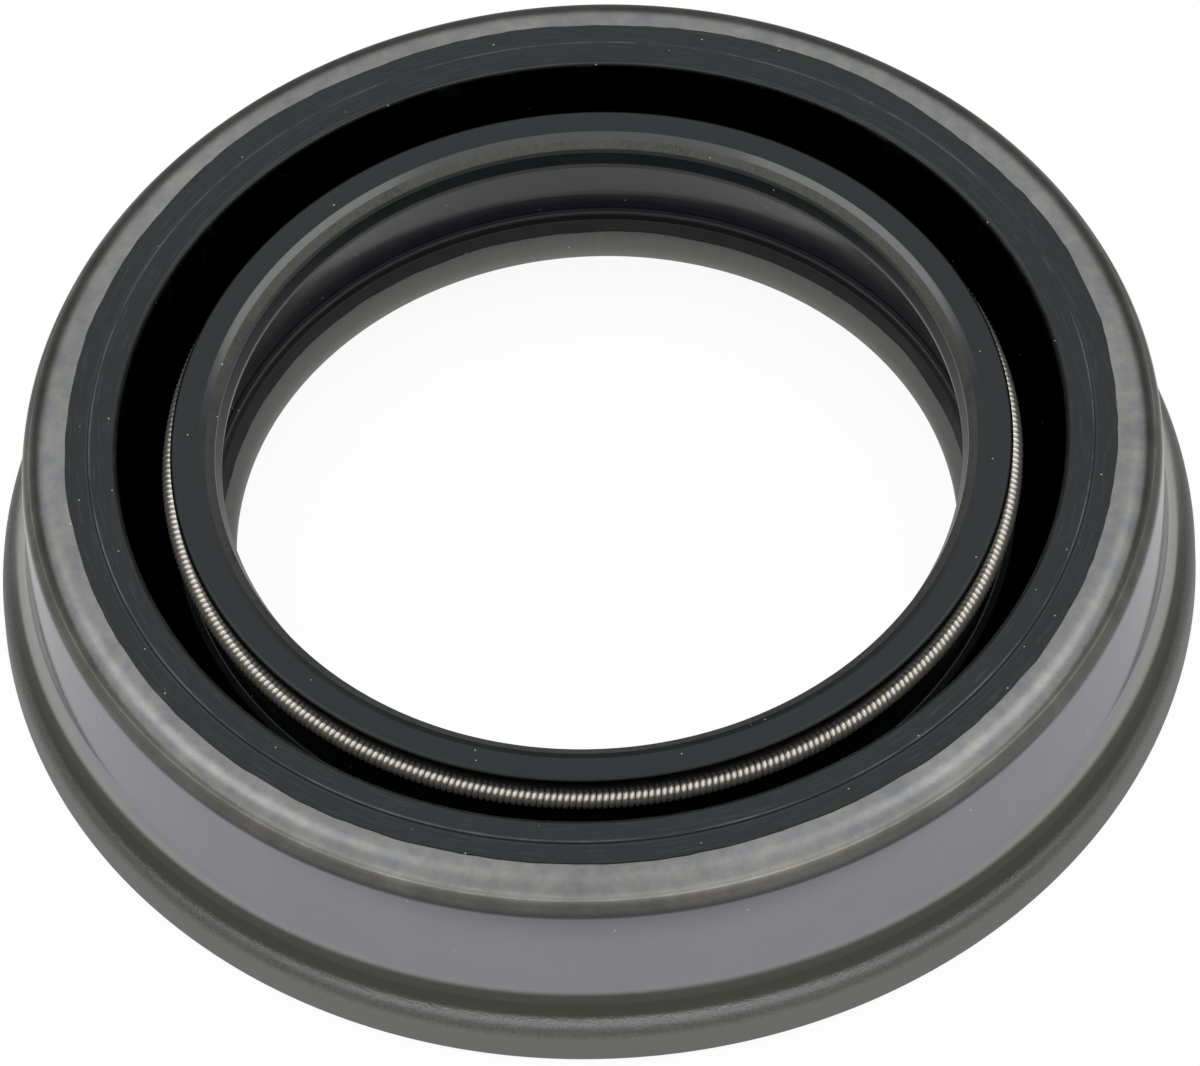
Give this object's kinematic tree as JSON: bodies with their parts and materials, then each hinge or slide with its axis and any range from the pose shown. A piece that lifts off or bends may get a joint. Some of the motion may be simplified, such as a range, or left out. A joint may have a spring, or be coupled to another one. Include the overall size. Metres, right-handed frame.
{
  "type": "radial shaft seal",
  "caption": "Radial shaft seal: a drawn steel case with a flared rim, a bonded rubber lip and a garter spring, sealing a turning shaft in a housing bore.",
  "frame": {"origin": "on the seal's axis, in the plane of the rim's foot", "axes": "+Z along the axis towards the sprung side of the lip, X and Y across the seal"},
  "size_m": [0.0732, 0.0732, 0.0144],
  "materials": {
    "case_steel": "satin drawn sheet steel",
    "seal_rubber": "moulded nitrile rubber, semi-matt",
    "spring_steel": "bright drawn wire, lightly oiled"
  },
  "bodies": {
    "root": {"steel_case": "case_steel", "sealing_element": "seal_rubber", "garter_spring": "spring_steel"}
  },
  "joints": []
}
